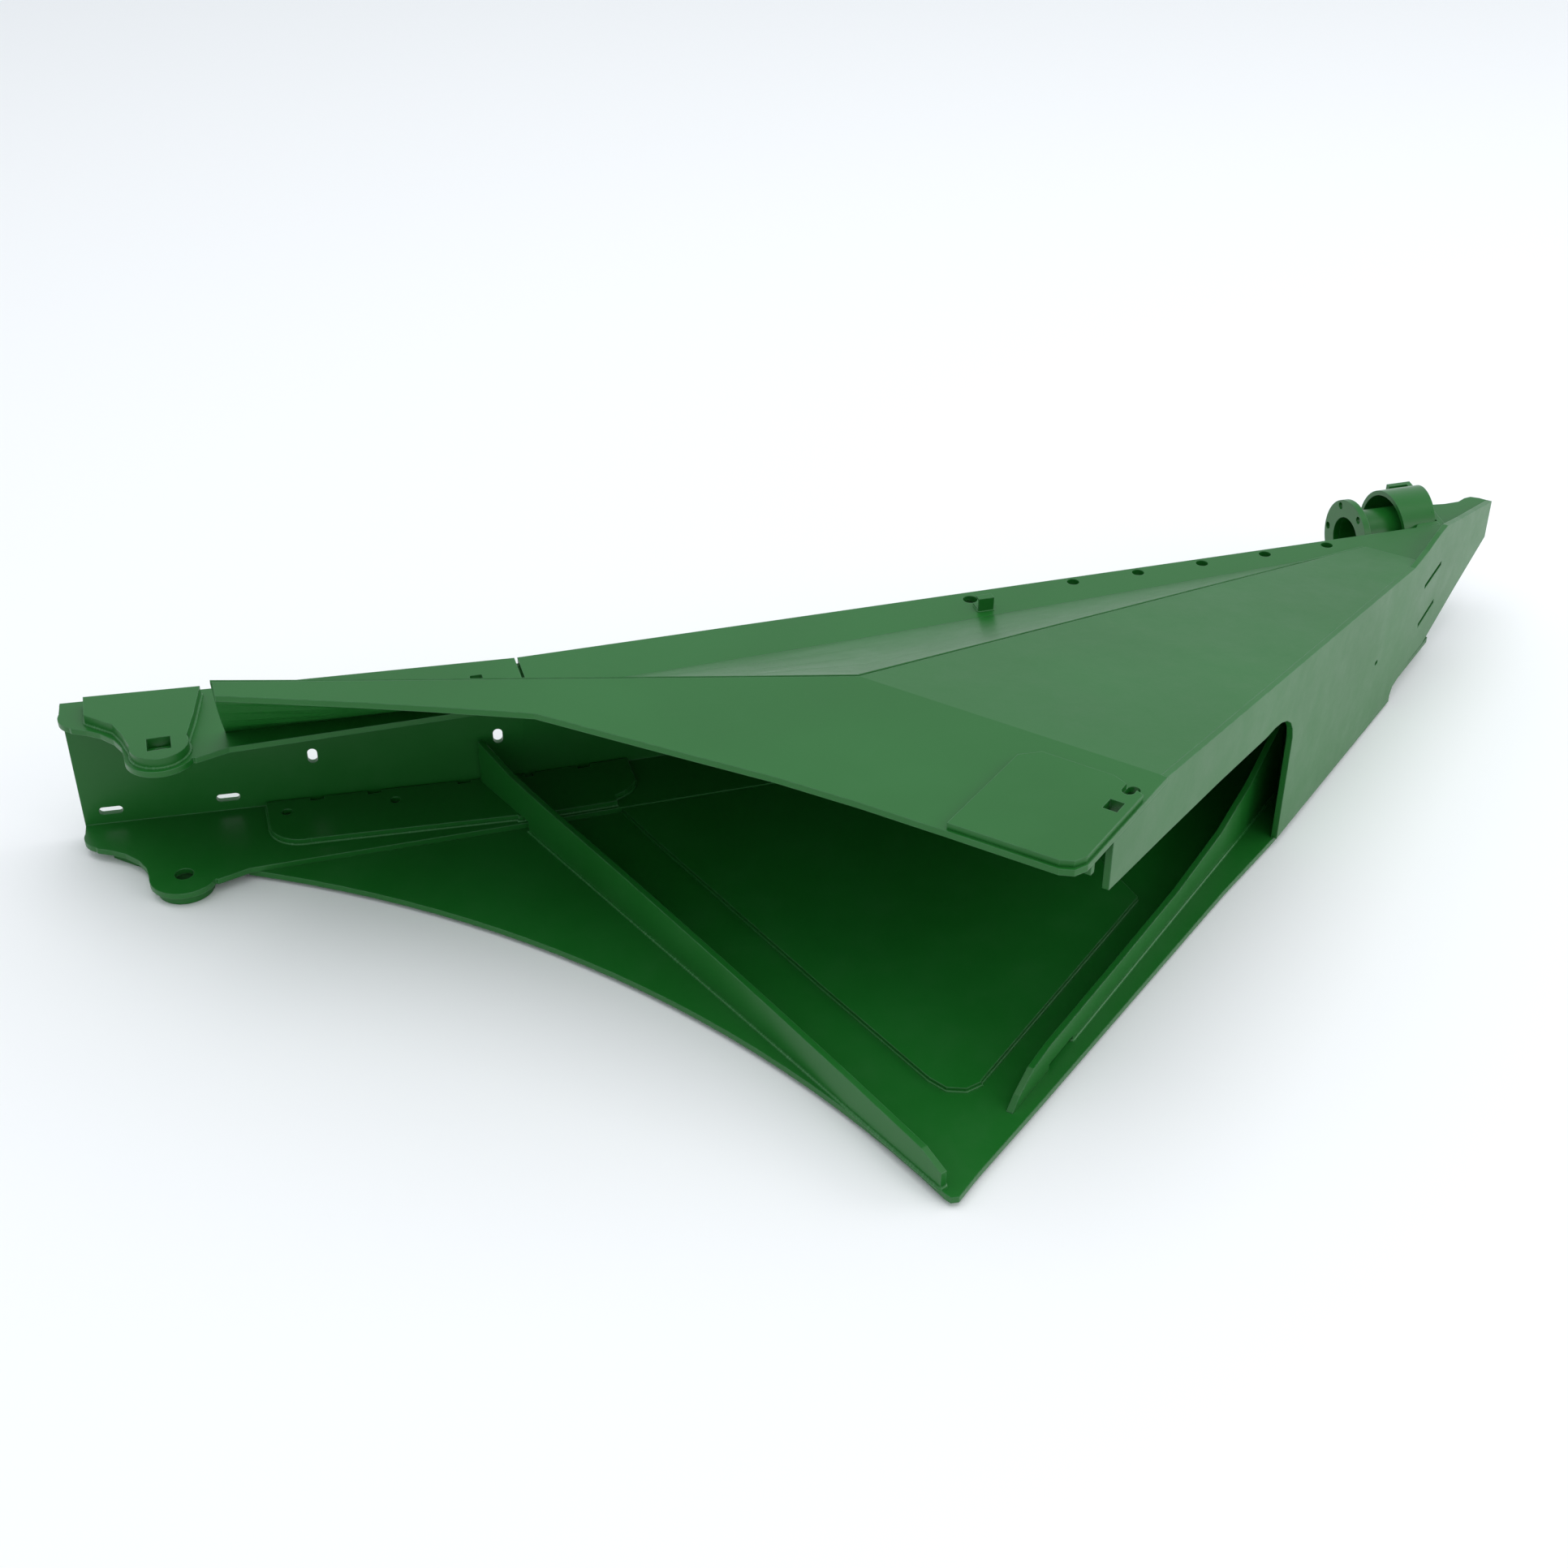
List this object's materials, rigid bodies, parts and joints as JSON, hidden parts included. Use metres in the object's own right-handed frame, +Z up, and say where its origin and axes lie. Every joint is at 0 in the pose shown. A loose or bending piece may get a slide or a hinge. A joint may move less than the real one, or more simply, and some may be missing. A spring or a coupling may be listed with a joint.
{
  "type": "welded implement side arm",
  "caption": "Welded steel side arm with a kinked channel rail, raised folded hood, windowed side plate, curved floor plate, lug and tube hub.",
  "frame": {"origin": "centre of the lug hole, on the underside of the lower flange", "axes": "+X along the straight part of the rail towards the hub, +Y to the rail's back, +Z up"},
  "size_m": [2.1413, 1.07, 0.355],
  "materials": {
    "frame_paint": "semi-gloss green enamel"
  },
  "bodies": {
    "root": {"main_rail": "frame_paint", "top_lug_doubler": "frame_paint", "bottom_lug_doubler": "frame_paint", "lower_flange_doubler": "frame_paint", "hood_plate": "frame_paint", "hood_back_panel": "frame_paint", "corner_doubler": "frame_paint", "hood_lip_rib": "frame_paint", "side_plate": "frame_paint", "floor_plate": "frame_paint", "floor_doubler": "frame_paint", "diagonal_wall": "frame_paint", "floor_rib": "frame_paint", "hose_clip": "frame_paint", "hub_outer_tube": "frame_paint", "hub_inner_tube": "frame_paint", "hub_bolt_flange": "frame_paint", "hub_bracket": "frame_paint", "rear_gusset": "frame_paint", "upper_end_lug": "frame_paint", "lower_end_lug": "frame_paint", "tube_saddle": "frame_paint"}
  },
  "joints": []
}
